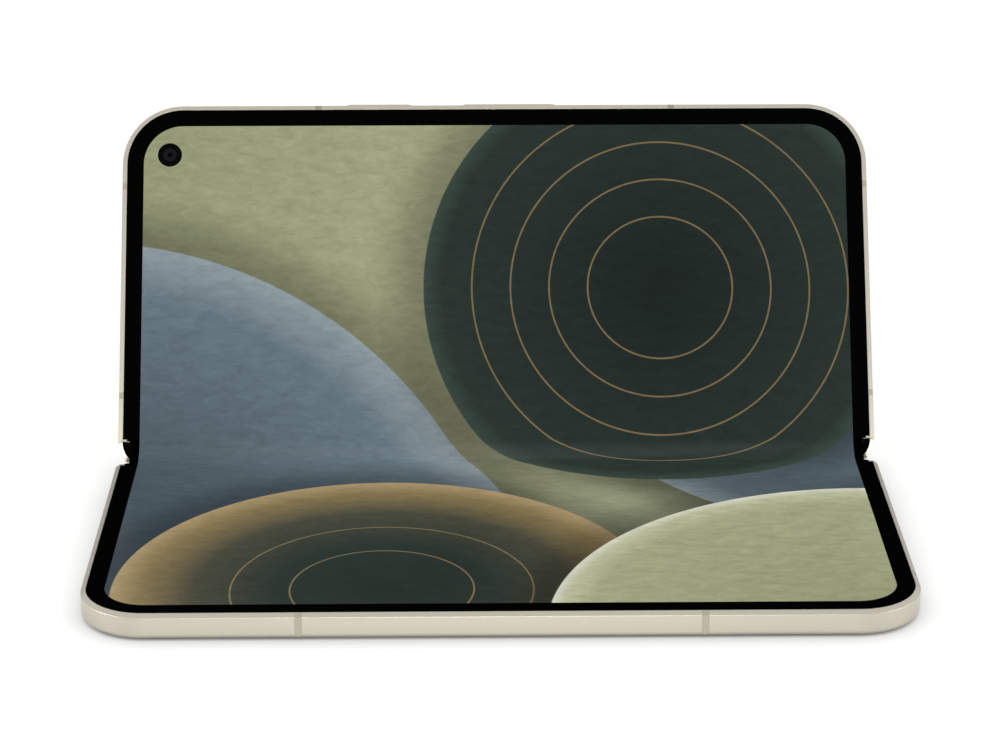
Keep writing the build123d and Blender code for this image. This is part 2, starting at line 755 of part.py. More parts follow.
def gear_shafts(plane, phase):
    """Hinge shafts of one half, each with its gear: one in each hinge module."""
    with BuildPart() as shafts:
        for x in [place * plane.x_dir.X for place in module_places]:
            start, end = sorted((x + shaft_start * plane.x_dir.X, x + shaft_end * plane.x_dir.X))
            gear_from, gear_to = sorted((x + gear_start * plane.x_dir.X, x + gear_end * plane.x_dir.X))
            bar(plane, round_face([(axis_offset, axis_height)], shaft_radius), start, end)
            bar(plane, gear_face(axis_offset, phase), gear_from, gear_to)
    return shafts.part


def hinge_arms(plane):
    """Arms of one half: each holds its shaft in a knuckle and is screwed to a pad in the frame."""
    with BuildPart() as arms:
        for x in module_places:
            with BuildSketch(section_plane(plane, x - arm_side)) as arm:
                with Locations((axis_offset, axis_height)):
                    Circle(knuckle_radius)
                with Locations((axis_offset, arm_bottom)):
                    Rectangle(arm_reach - axis_offset, arm_thickness, align=(Align.MIN, Align.MIN))
                with Locations((axis_offset, axis_height)):
                    Circle(shaft_radius + shaft_fit, mode=Mode.SUBTRACT)
            extrude(arm.sketch, amount=arm_width)
        slab(plane, round_face(screw_places(), screw_radius + fit_gap), arm_bottom, arm_top,
             mode=Mode.SUBTRACT)
        slab(plane, round_face(screw_places(), screw_head_radius + fit_gap), arm_top - screw_head_height,
             arm_top, mode=Mode.SUBTRACT)
    return arms.part


def arm_screws(plane):
    """Screws that hold the arms of one half, heads sunk in the arms."""
    with BuildPart() as screws:
        slab(plane, round_face(screw_places(), screw_radius), pad_bottom + tap_floor + tap_end,
             arm_top - screw_head_height)
        slab(plane, round_face(screw_places(), screw_head_radius), arm_top - screw_head_height, arm_top)
    return screws.part


finish(gear_shafts(base_plane, 0), "base_gear_shafts")
finish(gear_shafts(lid_plane, tooth_pitch / 2), "lid_gear_shafts")
finish(hinge_arms(base_plane), "base_hinge_arms")
finish(hinge_arms(lid_plane), "lid_hinge_arms")
finish(arm_screws(base_plane), "base_arm_screws")
finish(arm_screws(lid_plane), "lid_arm_screws")


def idler_gears(y, phase):
    """Idler gears of both modules on one line, each with its own pins."""
    with BuildPart() as idlers:
        for x in module_places:
            bar(spine_plane, gear_face(y, phase), x + gear_start, x + gear_end)
            bar(spine_plane, round_face([(y, axis_height)], idler_pin_radius), x + inner_lug + running_gap,
                x + shaft_end)
    return idlers.part


finish(idler_gears(-gear_spacing / 2, tooth_pitch / 2 + half_turn), "base_idler_gears")
finish(idler_gears(gear_spacing / 2, -half_turn), "lid_idler_gears")


# ---------------------------------------------------------------- outer glass
def outer_glass(plane):
    """Glass on the outside of a half, with a bevelled edge."""
    down = Axis(plane.origin, -plane.z_dir)
    with BuildPart() as glass:
        slab(plane, half_face(glass_border + fit_gap, rail_far + fit_gap), 0, glass_thickness)
        chamfer(glass.faces().sort_by(down)[-1].edges(), glass_edge)
    return glass.part


with BuildPart() as cover_display_glass:
    add(outer_glass(base_plane))
finish(cover_display_glass.part, "cover_display_glass")

island_face = box_face(-island_x, island_reach, island_width, island_length, island_radius)
lens_places = [(-island_x - lens_pitch / 2, island_reach + lens_pitch / 2),
               (-island_x - lens_pitch / 2, island_reach - lens_pitch / 2)]
small_place = (-island_x + lens_pitch / 2, island_reach + lens_pitch / 2)
flash_place = (-island_x + lens_pitch / 2, island_reach - lens_pitch / 2)
window_set = [(place, rear_window_radius) for place in lens_places] + [(small_place, small_window_radius)]

with BuildPart() as back_cover:
    add(outer_glass(lid_plane))
    island_opening = box_face(-island_x, island_reach, island_width + 2 * fit_gap,
                              island_length + 2 * fit_gap, island_radius + fit_gap)
    slab(lid_plane, island_opening, 0, glass_thickness, mode=Mode.SUBTRACT)
finish(back_cover.part, "back_cover")

# ---------------------------------------------------------------- rear camera island
island_top = glass_seat + island_seat
ring_bottom = -island_height - ring_proud
window_bottom = -island_height - window_proud
window_top = -island_height + window_seat
with BuildPart() as camera_island:
    slab(lid_plane, island_face, -island_height, island_top)
    island_down = Axis(lid_plane.origin, -lid_plane.z_dir)
    fillet(camera_island.faces().sort_by(island_down)[-1].edges(), island_round)
    for place, radius in window_set:
        slab(lid_plane, round_face([place], radius + ring_width), ring_bottom, island_top)
        slab(lid_plane, round_face([place], radius + lens_fit), ring_bottom, window_top, mode=Mode.SUBTRACT)
        slab(lid_plane, round_face([place], radius - window_ledge), -island_height, island_top,
             mode=Mode.SUBTRACT)
    slab(lid_plane, round_face([flash_place], flash_radius + lens_fit), -island_height,
         -island_height + island_round, mode=Mode.SUBTRACT)
finish(camera_island.part, "camera_island")

with BuildPart() as rear_camera_windows:
    for place, radius in window_set:
        slab(lid_plane, round_face([place], radius), window_bottom, window_top)
finish(rear_camera_windows.part, "rear_camera_windows")

with BuildPart() as camera_flash:
    slab(lid_plane, round_face([flash_place], flash_radius), -island_height - flash_proud,
         -island_height + island_round)
finish(camera_flash.part, "camera_flash")

inner_top = plate_bottom - layer_gap
barrel_bottom = window_top + layer_gap / 2
with BuildPart() as rear_cameras:
    for place, radius in window_set:
        side = 2 * radius - window_ledge
        slab(lid_plane, box_face(*place, side, side, camera_round), island_top, inner_top)
        slab(lid_plane, round_face([place], radius - window_ledge - barrel_gap), barrel_bottom, island_top)
        slab(lid_plane, round_face([place], radius / 2 - barrel_gap), barrel_bottom,
             barrel_bottom + barrel_depth, mode=Mode.SUBTRACT)
finish(rear_cameras.part, "rear_cameras")

# ---------------------------------------------------------------- inner camera
window_base = screen_top - window_thickness
lens_bottom = window_base - fit_gap - barrel_depth
with BuildPart() as inner_camera:
    slab(lid_plane, box_face(-hole_x, hole_reach, camera_side, camera_side, camera_round),
         glass_seat + camera_lift, inner_top)
    slab(lid_plane, round_face(camera_place, hole_radius - barrel_gap), inner_top, window_base - fit_gap)
    slab(lid_plane, round_face(camera_place, lens_radius), lens_bottom, window_base - fit_gap,
         mode=Mode.SUBTRACT)
finish(inner_camera.part, "inner_camera")

with BuildPart() as inner_camera_lens:
    slab(lid_plane, round_face(camera_place, lens_radius - lens_fit), lens_bottom,
         lens_bottom + lens_thickness)
finish(inner_camera_lens.part, "inner_camera_lens")

with BuildPart() as inner_camera_window:
    slab(lid_plane, round_face(camera_place, hole_radius - hole_fit), window_base, screen_top)
finish(inner_camera_window.part, "inner_camera_window")

# ---------------------------------------------------------------- keys and their switches
flange_far = room_far - flange_gap
flange_near = flange_far - flange_thickness
switch_far = flange_near - key_travel - switch_gap


def key(x, length):
    """Key cap through the far wall, with the flange that keeps it in."""
    with BuildPart() as cap:
        with BuildSketch(edge_plane(lid_plane, half_length + key_proud)) as cap_face:
            with Locations((x, key_level)):
                RectangleRounded(length, key_height, key_height / 2 - round_trim)
        extrude(cap_face.sketch, amount=half_length + key_proud - flange_near)
        out = Axis(lid_plane.origin, lid_plane.y_dir)
        fillet(cap.faces().sort_by(out)[-1].edges(), key_round)
        with BuildSketch(edge_plane(lid_plane, flange_far)) as flange_face:
            with Locations((x, key_level)):
                Rectangle(length + 2 * flange_side, key_height + 2 * flange_rise)
        extrude(flange_face.sketch, amount=flange_thickness)
    return cap.part


finish(key(power_x, power_length), "power_button")
finish(key(rocker_x, rocker_length), "volume_rocker")

rocker_switches = rocker_length / 2 - switch_inset
switch_places = (power_x, rocker_x - rocker_switches, rocker_x + rocker_switches)
with BuildPart() as key_switches:
    with BuildSketch(edge_plane(lid_plane, switch_far)) as switch_faces:
        with Locations(*[(x, key_level) for x in switch_places]):
            RectangleRounded(switch_length, switch_height, switch_height / 4)
    extrude(switch_faces.sketch, amount=switch_thickness)
    with BuildSketch(edge_plane(lid_plane, switch_far - switch_thickness)) as strip_face:
        with Locations(((switch_places[0] + switch_places[-1]) / 2, key_level)):
            Rectangle(switch_places[-1] - switch_places[0] + 2 * switch_length,
                      key_height + 2 * switch_strip_margin)
    extrude(strip_face.sketch, amount=switch_strip_thickness)
finish(key_switches.part, "key_switches")

# ---------------------------------------------------------------- card tray and its reader
plate_start = -room_end - tray_step
plate_end = -room_end + tray_length
with BuildPart() as sim_tray:
    tray_face = box_face(tray_reach, tray_level, tray_face_width, tray_face_height,
                         tray_face_height / 2 - round_trim)
    bar(lid_plane, tray_face, -half_width, plate_start)
    bar(lid_plane, box_face(tray_reach, tray_level, tray_width, tray_thickness), plate_start, plate_end)
    card = box_face((plate_start + plate_end) / 2 + tray_step + card_margin, tray_reach,
                    tray_length - 2 * card_end, tray_width - 2 * card_margin, card_margin)
    slab(lid_plane, card, tray_level - card_rest, tray_level + tray_thickness, mode=Mode.SUBTRACT)
    pin_place = [(tray_reach + tray_face_width / 2 - pin_inset, tray_level)]
    bar(lid_plane, round_face(pin_place, pin_hole_radius), -half_width - 1, plate_start + tray_step,
        mode=Mode.SUBTRACT)
finish(sim_tray.part, "sim_tray")

with BuildPart() as sim_reader:
    room_width = tray_width + 2 * reader_gap
    room_height = tray_thickness + 2 * reader_gap
    shell = box_face(tray_reach, tray_level, room_width + 2 * reader_wall, room_height + 2 * reader_wall)
    bar(lid_plane, shell, -room_end + reader_start, plate_end + reader_end + 2 * reader_wall)
    bar(lid_plane, box_face(tray_reach, tray_level, room_width, room_height), -room_end,
        plate_end + reader_end, mode=Mode.SUBTRACT)
finish(sim_reader.part, "sim_reader")

# ---------------------------------------------------------------- port
port_mouth = half_width - port_set_back
with BuildPart() as usb_port:
    shell = box_face(port_middle, port_level, port_width + 2 * port_wall, port_height + 2 * port_wall,
                     port_height / 2 + port_wall - round_trim)
    room = box_face(port_middle, port_level, port_width, port_height, port_height / 2 - round_trim)
    tongue = box_face(port_middle, port_level, tongue_width, tongue_thickness)
    bar(lid_plane, shell, port_mouth - port_depth - port_back, port_mouth)
    bar(lid_plane, room, port_mouth - port_depth, port_mouth, mode=Mode.SUBTRACT)
    bar(lid_plane, tongue, port_mouth - port_depth, port_mouth - port_depth + tongue_length)
finish(usb_port.part, "usb_port")


# ---------------------------------------------------------------- inner pieces
def block(plane, across, along, bottom, top, radius):
    """Rounded block lying in a half; across and along are its edges in x and y."""
    face = box_face(sum(across) / 2, sum(along) / 2, across[1] - across[0], along[1] - along[0], radius)
    slab(plane, face, bottom, top)


def about(middle, length):
    """Edges of a length about its middle."""
    return (middle - length / 2, middle + length / 2)


board_bottom = cover_panel_top + layer_gap
board_top = board_bottom + board_thickness
chip_top = inner_top - chip_cover_gap
inner_near = pad_far + near_gap

with BuildPart() as cover_display_panel:
    slab(base_plane, half_face(wall_thickness + coil_thickness, rail_far + coil_thickness), glass_seat,
         cover_panel_top)
finish(cover_display_panel.part, "cover_display_panel")

# Base half, from the microphone's end to the earpiece's end
base_magnets_along = (room_far - base_magnet_gap - magnet_depth, room_far - base_magnet_gap)
base_along = (inner_near, base_magnets_along[0] - board_radius)
motor_across = (-room_end + motor_end_gap, -room_end + motor_end_gap + motor_length)
base_board_across = (room_end - base_board_end_gap - base_board_width, room_end - base_board_end_gap)
base_cell_across = (motor_across[1] + cell_gap, base_board_across[0] - cell_gap)
ear_across = (room_end - ear_end_gap - ear_width, room_end - ear_end_gap)
cover_camera_x = base_board_across[1] - cover_camera_offset
chip_x = sum(base_board_across) / 2

with BuildPart() as base_battery:
    block(base_plane, base_cell_across, base_along, board_bottom, inner_top, cell_radius)
finish(base_battery.part, "base_battery")

with BuildPart() as base_board:
    block(base_plane, base_board_across, base_along, board_bottom, board_top, board_radius)
    block(base_plane, about(chip_x, base_chip), about(base_along[1] - base_chip, base_chip), board_top,
          chip_top, chip_radius)
    block(base_plane, about(chip_x, charger_chip), about(base_along[0] + charger_chip, charger_chip),
          board_top, chip_top, chip_radius)
finish(base_board.part, "base_board")

with BuildPart() as earpiece_speaker:
    block(base_plane, ear_across, about(port_middle - ear_offset, ear_length), board_bottom, inner_top,
          camera_round)
finish(earpiece_speaker.part, "earpiece_speaker")

with BuildPart() as vibration_motor:
    block(base_plane, motor_across, about(sum(base_along) / 2, motor_width), board_bottom, inner_top,
          board_radius)
finish(vibration_motor.part, "vibration_motor")

with BuildPart() as cover_camera:
    block(base_plane, about(cover_camera_x, cover_camera_side),
          about(sum(base_along) / 2, cover_camera_side), board_top + tap_end, inner_top, camera_round)
finish(cover_camera.part, "cover_camera")

with BuildPart() as base_magnets:
    for x in (base_magnet_inset - half_width, half_width - base_magnet_inset):
        block(base_plane, about(x, base_magnet_length), base_magnets_along, board_bottom, inner_top,
              chip_radius)
finish(base_magnets.part, "base_magnets")

# Lid half, from the card tray's end to the port's end
lid_magnets_along = (room_far - lid_magnet_gap - magnet_depth, room_far - lid_magnet_gap)
speaker_across = (room_end - speaker_end_gap - speaker_width, room_end - speaker_end_gap)
main_board_across = (-room_end + main_board_end_gap, -room_end + main_board_end_gap + main_board_width)
main_board_along = (inner_near, island_reach - island_length / 2 - main_board_far_gap)
main_chip_end = main_board_across[1] - main_chip_gap
main_chip_across = (main_chip_end - main_chip_width, main_chip_end)
lid_cell_across = (main_board_across[1] + board_radius, speaker_across[0] - speaker_cell_gap)
lid_cell_along = (inner_near, lid_magnets_along[0] - 2 * board_radius)
coil_place = [(sum(lid_cell_across) / 2, sum(lid_cell_along) / 2)]

with BuildPart() as lid_magnets:
    for inset in lid_magnet_insets:
        block(lid_plane, about(half_width - inset, lid_magnet_length), lid_magnets_along, board_bottom,
              inner_top, chip_radius)
finish(lid_magnets.part, "lid_magnets")

with BuildPart() as charging_coil:
    slab(lid_plane, round_face(coil_place, coil_radius), glass_seat, glass_seat + coil_thickness)
    slab(lid_plane, round_face(coil_place, coil_hole_radius), glass_seat, glass_seat + coil_thickness,
         mode=Mode.SUBTRACT)
finish(charging_coil.part, "charging_coil")

with BuildPart() as lid_battery:
    block(lid_plane, lid_cell_across, lid_cell_along, glass_seat + coil_thickness + layer_gap, inner_top,
          cell_radius)
finish(lid_battery.part, "lid_battery")

with BuildPart() as main_board:
    block(lid_plane, main_board_across, main_board_along, board_bottom, board_bottom + main_board_thickness,
          board_radius)
    block(lid_plane, main_chip_across, about(sum(main_board_along) / 2, main_chip_length),
          board_bottom + main_board_thickness, chip_top, chip_radius)
finish(main_board.part, "main_board")

with BuildPart() as loudspeaker:
    block(lid_plane, speaker_across, about(port_middle + speaker_offset, speaker_length), board_bottom,
          inner_top, camera_round)
finish(loudspeaker.part, "loudspeaker")
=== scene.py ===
"""Looks of a foldable smartphone, half open on a white table."""
import json
import math

import bmesh
import bpy
from mathutils import Matrix, Vector


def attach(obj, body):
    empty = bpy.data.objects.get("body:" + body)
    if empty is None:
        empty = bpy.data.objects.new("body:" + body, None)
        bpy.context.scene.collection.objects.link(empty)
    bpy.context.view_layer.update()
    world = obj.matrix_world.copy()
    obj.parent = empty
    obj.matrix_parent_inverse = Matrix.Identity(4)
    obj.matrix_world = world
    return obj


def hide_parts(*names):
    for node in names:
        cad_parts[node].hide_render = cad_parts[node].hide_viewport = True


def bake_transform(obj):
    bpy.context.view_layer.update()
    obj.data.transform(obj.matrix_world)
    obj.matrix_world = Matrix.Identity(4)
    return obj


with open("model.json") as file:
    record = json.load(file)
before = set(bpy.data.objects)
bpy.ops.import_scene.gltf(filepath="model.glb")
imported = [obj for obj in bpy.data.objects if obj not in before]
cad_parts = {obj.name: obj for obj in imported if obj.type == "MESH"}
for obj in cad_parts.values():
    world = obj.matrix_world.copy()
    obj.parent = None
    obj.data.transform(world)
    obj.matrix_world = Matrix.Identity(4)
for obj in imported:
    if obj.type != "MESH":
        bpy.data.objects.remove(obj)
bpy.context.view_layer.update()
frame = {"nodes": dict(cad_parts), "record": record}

MM = 0.001

# ---------------------------------------------------------------- sizes (mm), as the phone is built
HALF_WIDTH = 77.6          # middle of the fold line to the end edge
HALF_LENGTH = 75.2         # fold line to the far edge of one half
CORNER_RADIUS = 12.5
RIM_WIDTH = 1.0
BEZEL_WIDTH = 3.42
PANEL_OVERLAP = 1.5        # screen hidden under the bezel
SCREEN_TOP = 5.0
SCREEN_THICKNESS = 0.6
HOLE_X = -67.8             # inner camera
HOLE_REACH = 64.65
HOLE_RADIUS = 2.53
# Camera windows: middle in the lid's plane and radius of each
INNER_LENSES = [((HOLE_X, HOLE_REACH, SCREEN_TOP), HOLE_RADIUS)]
REAR_LENSES = [((-56.3, 62.3, -1.6), 5.2), ((-56.3, 49.7, -1.6), 5.2), ((-43.7, 62.3, -1.6), 3.6)]

# Steps of the curves in the screen's pieces
CORNER_STEPS = 24
HOLE_STEPS = 64
BEND_STEPS = 20

# Hinge axes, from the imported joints
joints = {joint["name"]: joint for joint in frame["record"]["behaviour"]["joints"]}
FIRST_AXIS = Vector(joints["fold"]["pos_m"]) / MM
SECOND_AXIS = Vector(joints["lid_fold"]["pos_m"]) / MM
HALF_TURN = math.atan2(SECOND_AXIS.z - FIRST_AXIS.z, SECOND_AXIS.y - FIRST_AXIS.y)
AXIS_OFFSET = (SECOND_AXIS - FIRST_AXIS).length / 2
AXIS_HEIGHT = FIRST_AXIS.z
PANEL_INSET = RIM_WIDTH + BEZEL_WIDTH - PANEL_OVERLAP


# ---------------------------------------------------------------- places
def turned(pivot, across, turn):
    """Matrix of a plane turned about X, whose point (0, across, AXIS_HEIGHT) lies on the pivot; mm."""
    spin = Matrix.Rotation(turn, 4, "X")
    return Matrix.Translation(pivot) @ spin @ Matrix.Translation((0, -across, -AXIS_HEIGHT))


BASE = Matrix.Translation((0, HALF_LENGTH / 2, 0)) @ Matrix.Rotation(math.pi, 4, "Z")
SPINE = turned(FIRST_AXIS, -AXIS_OFFSET, HALF_TURN)
LID = turned(SECOND_AXIS, AXIS_OFFSET, 2 * HALF_TURN)


def new_piece(name, mesh_data, matrix, material, smooth=False):
    """Turn a bmesh drawn in mm in a half's plane into an object at its real place."""
    mesh = bpy.data.meshes.new(name)
    mesh_data.transform(Matrix.Scale(MM, 4) @ matrix)
    mesh_data.to_mesh(mesh)
    mesh_data.free()
    piece = bpy.data.objects.new(name, mesh)
    bpy.context.scene.collection.objects.link(piece)
    mesh.materials.append(material)
    for face in mesh.polygons:
        face.use_smooth = smooth
    return piece


# ---------------------------------------------------------------- materials
def linear(code):
    """sRGB hex colour as linear red, green, blue and 1."""
    channels = [int(code[i:i + 2], 16) / 255 for i in (1, 3, 5)]
    curve = [c / 12.92 if c <= 0.04045 else ((c + 0.055) / 1.055) ** 2.4 for c in channels]
    return (*curve, 1.0)


def node(material, kind, inputs=(), stops=(), **settings):
    """Add a node with its settings. Each input is a value or an output, each stop a place and a colour."""
    tree = material.node_tree
    made = tree.nodes.new(kind)
    for key, value in settings.items():
        setattr(made, key, value)
    for key, value in dict(inputs).items():
        if isinstance(value, bpy.types.NodeSocket):
            tree.links.new(value, made.inputs[key])
        else:
            made.inputs[key].default_value = value
    for i, (position, code) in enumerate(stops):
        if i > 1:
            made.color_ramp.elements.new(position)
        made.color_ramp.elements[i].position = position
        made.color_ramp.elements[i].color = linear(code)
    return made


def new_material(name, **shader):
    """Material with one Principled shader; keywords name its sockets, and a hex colour is turned linear."""
    material = bpy.data.materials.new(name)
    material.use_nodes = True
    surface = material.node_tree.nodes["Principled BSDF"]
    for key, value in shader.items():
        socket = surface.inputs[key.replace("_", " ")]
        socket.default_value = linear(value) if isinstance(value, str) else value
    return material


def feed(material, output, socket):
    """Link an output to a socket of the material's Principled shader."""
    surface = material.node_tree.nodes["Principled BSDF"]
    material.node_tree.links.new(output, surface.inputs[socket])


def object_mm(material):
    """Object coordinates in millimetres."""
    place = node(material, "ShaderNodeTexCoord").outputs["Object"]
    scaled = node(material, "ShaderNodeVectorMath", {0: place, "Scale": 1 / MM}, operation="SCALE")
    return scaled.outputs["Vector"]


def grained(name, size, depth, roughness=None, spread=0.0, edge=0.0, **shader):
    """Material with a fine surface grain of a given size and depth in mm.

    A roughness given here varies by its spread with the grain. An edge radius in mm breaks the sharp
    edges, so that they catch the light.
    """
    material = new_material(name, **shader)
    noise = node(material, "ShaderNodeTexNoise", {
        "Vector": object_mm(material), "Scale": 1 / size, "Detail": 2.0}).outputs["Fac"]
    relief = {"Height": noise, "Strength": 1.0, "Distance": depth * MM}
    if edge:
        broken = node(material, "ShaderNodeBevel", {"Radius": edge * MM}, samples=4)
        relief["Normal"] = broken.outputs["Normal"]
    feed(material, node(material, "ShaderNodeBump", relief).outputs["Normal"], "Normal")
    if roughness is not None:
        varied = node(material, "ShaderNodeMapRange", {
            "Value": noise, "From Min": 0.3, "From Max": 0.7,
            "To Min": roughness - spread, "To Max": roughness + spread})
        feed(material, varied.outputs["Result"], "Roughness")
    return material


# Aluminium, bead blasted and anodised champagne: a soft satin that blurs the room, with a fine sparkle.
# Blast pits are about 0.05 mm. They are drawn at 0.18 mm so that they show.
blasted_aluminium = grained("blasted_aluminium", 0.18, 0.004, 0.34, 0.05, edge=0.16,
                            Base_Color="#bcb7a8", Metallic=1.0)

# Nylon moulded into the frame and blasted with it: like the metal in colour, without its shine. Its pits
# are drawn coarser, as the metal's are.
antenna_plastic = grained("antenna_plastic", 0.2, 0.004, Base_Color="#8a8575", Roughness=0.55)

# Moulded black polymer with a fine matt texture, about 0.1 mm and drawn a little coarser: nearly no shine
# next to the glossy screen.
border_black = grained("border_black", 0.15, 0.002, Base_Color="#030303", Roughness=0.6,
                       Specular_IOR_Level=0.0)

# Toughened glass over a black print: a hard gloss, dulled in soft patches about 9 mm across where fingers
# have been.
black_glass = grained("black_glass", 9.0, 0.0008, 0.05, 0.03, Base_Color="#050506", IOR=1.5,
                      Coat_Weight=0.5, Coat_Roughness=0.02)

# Etched back glass over champagne paint: a silky matt face. Etch pits are about 0.02 mm. They are drawn at
# 0.12 mm so that they show.
frosted_glass = grained("frosted_glass", 0.12, 0.002, 0.42, 0.04, Base_Color="#cdc6b2", IOR=1.5,
                        Coat_Weight=0.15, Coat_Roughness=0.35)

# Hinge steel with a dark vapour-deposited coat: dull grey-brown. The rolling marks under it are drawn
# coarser, at 0.3 mm.
dark_metal = grained("dark_metal", 0.3, 0.003, Base_Color="#4a463f", Metallic=1.0, Roughness=0.42)

# Ground stainless steel: bright, finely clouded by grinding. The marks are about 0.05 mm, drawn at 0.25 mm.
bare_steel = grained("bare_steel", 0.25, 0.003, 0.28, 0.06, Base_Color="#b4b4b2", Metallic=1.0)

# Rolled aluminium sheet: pale grey, slightly mottled at about 0.8 mm.
sheet_aluminium = grained("sheet_aluminium", 0.8, 0.003, 0.38, 0.08, Base_Color="#a9aaab", Metallic=1.0)

# Black glass-filled nylon, moulded: dull, slightly pebbled at about 0.3 mm.
matt_black_plastic = grained("matt_black_plastic", 0.3, 0.006, Base_Color="#0d0d0e", Roughness=0.6)


def solder_masked_board():
    """Fibreglass board under green solder mask, with paler tracks showing through 0.5 mm apart."""
    material = new_material("circuit_board", Roughness=0.35)
    tracks = node(material, "ShaderNodeTexBrick", {
        "Vector": object_mm(material), "Color1": linear("#0f3a24"), "Color2": linear("#154a30"),
        "Mortar": linear("#2f6b4a"), "Scale": 0.5, "Mortar Size": 0.03})
    feed(material, tracks.outputs["Color"], "Base Color")
    return material


circuit_board = solder_masked_board()

# Laminated pouch foil under a thin black film: a soft sheen, wrinkled at about 3 mm.
battery_wrap = grained("battery_wrap", 3.0, 0.05, Base_Color="#17181a", Roughness=0.35)

# Enamelled copper wire, wound flat: warm metal, uneven over its 0.4 mm turns.
copper_winding = grained("copper_winding", 0.4, 0.02, Base_Color="#b9714a", Metallic=1.0, Roughness=0.3)

# Nickel plating on the magnets: smooth warm silver, barely rippled at 0.5 mm.
nickel_plate = grained("nickel_plate", 0.5, 0.002, Base_Color="#b5b2a8", Metallic=1.0, Roughness=0.22)


def moulded_flash_lens():
    """Clear polycarbonate lens over a yellow diode: its 0.6 mm facets break the yellow up."""
    material = new_material("flash_lens", Roughness=0.15, IOR=1.58)
    facets = node(material, "ShaderNodeTexVoronoi", {"Vector": object_mm(material), "Scale": 1.6})
    tint = node(material, "ShaderNodeValToRGB", {"Fac": facets.outputs["Distance"]},
                [(0.0, "#fff3cf"), (0.6, "#e5d8a8"), (1.0, "#c9ba84")])
    feed(material, tint.outputs["Color"], "Base Color")
    return material


flash_lens = moulded_flash_lens()

# Moulded lens with a blue-green anti-reflection coat over a dark barrel: deep and nearly black, with a
# hard gloss.
coated_lens = grained("coated_lens", 0.6, 0.0006, Base_Color="#0b161c", Roughness=0.05, IOR=1.5,
                      Coat_Weight=0.6, Coat_Roughness=0.03)


def lens_glass(name, gloss, rounds, stops):
    """Black-printed glass over round lenses: what shows behind it is drawn in rings about each middle.

    Rounds give each lens's middle in the lid's plane and its radius in mm. Stops run from the middle (0)
    to the edge (1).
    """
    material = new_material(name, Roughness=0.08, IOR=1.5, Specular_IOR_Level=gloss)
    place = node(material, "ShaderNodeTexCoord").outputs["Object"]
    nearest = 1.0
    for middle, radius in rounds:
        away = node(material, "ShaderNodeVectorMath", {0: place, 1: LID @ Vector(middle) * MM},
                    operation="DISTANCE").outputs["Value"]
        share = node(material, "ShaderNodeMath", {0: away, 1: radius * MM}, operation="DIVIDE")
        nearest = node(material, "ShaderNodeMath", {0: share.outputs["Value"], 1: nearest},
                       operation="MINIMUM").outputs["Value"]
    tint = node(material, "ShaderNodeValToRGB", {"Fac": nearest}, stops)
    feed(material, tint.outputs["Color"], "Base Color")
    return material


# A dim grey lens with a black pupil behind the hole in the screen
inner_camera_glass = lens_glass("inner_camera_glass", 0.02, INNER_LENSES, [
    (0.0, "#010101"), (0.17, "#020202"), (0.26, "#1b191b"), (0.42, "#17151a"), (0.50, "#1d1b22"),
    (0.58, "#060507"), (0.62, "#020203"), (0.80, "#08080a"), (0.84, "#020202"), (1.0, "#020201")])
# Rear cameras: stepped black barrel, blue-green coated front lens, small bright ring at its rim
rear_camera_glass = lens_glass("rear_camera_glass", 0.2, REAR_LENSES, [
    (0.0, "#020203"), (0.14, "#04060a"), (0.24, "#0c2630"), (0.36, "#10323a"), (0.42, "#05090c"),
    (0.47, "#3a3c3e"), (0.50, "#060607"), (0.62, "#141416"), (0.66, "#050505"), (0.80, "#0e0e10"),
    (0.84, "#030304"), (1.0, "#030303")])

# ---------------------------------------------------------------- the picture on the screen
# The sage sheet behind the discs: colours from the left end of the screen (0) to the right (1)
SHEET_REACH = 7.5          # cm, middle to either end
SHEET = [(0.0, "#949876"), (0.45, "#a2a582"), (0.8, "#8d9278"), (1.0, "#7f8672")]
# Paper discs, back to front: centre, radius and the radii of thin rings in cm on the unfolded screen, then
# the colour from the disc's edge (0) to its middle (1)
DISCS = [
    ((9.5, 3.0), 7.6, (), [(0.0, "#93a0a4"), (0.10, "#6f7f88"), (0.45, "#55646c"), (1.0, "#414f57")]),
    ((-8.6, -4.4), 9.0, (), [(0.0, "#8d9aa0"), (0.12, "#66767f"), (0.5, "#4d5b63"), (1.0, "#3c4a52")]),
    ((3.4, 3.6), 4.9, (1.5, 2.3, 3.1, 3.9), [
        (0.0, "#39463f"), (0.08, "#2a3530"), (0.6, "#222c28"), (1.0, "#1c2421")]),
    ((-2.2, -6.4), 5.0, (1.7, 2.8), [
        (0.0, "#a6916b"), (0.10, "#84744f"), (0.30, "#47473a"), (0.6, "#28332e"), (1.0, "#202a26")]),
    ((7.2, -8.2), 6.4, (), [(0.0, "#d3d4c2"), (0.035, "#b7ba9a"), (0.12, "#a1a480"), (1.0, "#8f9371")]),
]
RING_COLOUR = "#9a8259"    # sand
RING_WIDTH = 0.018         # cm, either side of the line
RING_STRENGTH = 0.55
EDGE_BLUR = 0.012          # cm, either side of a disc's edge
SHADOW_REACH = 1.3         # cm, past a disc's edge
SHADOW_DEPTH = 0.55        # light left at a disc's edge
# Sockets of the Mix node, by number: those for colours share their names with others.
MIX_SHARE, MIX_FIRST, MIX_SECOND, MIX_RESULT = 0, 6, 7, 2


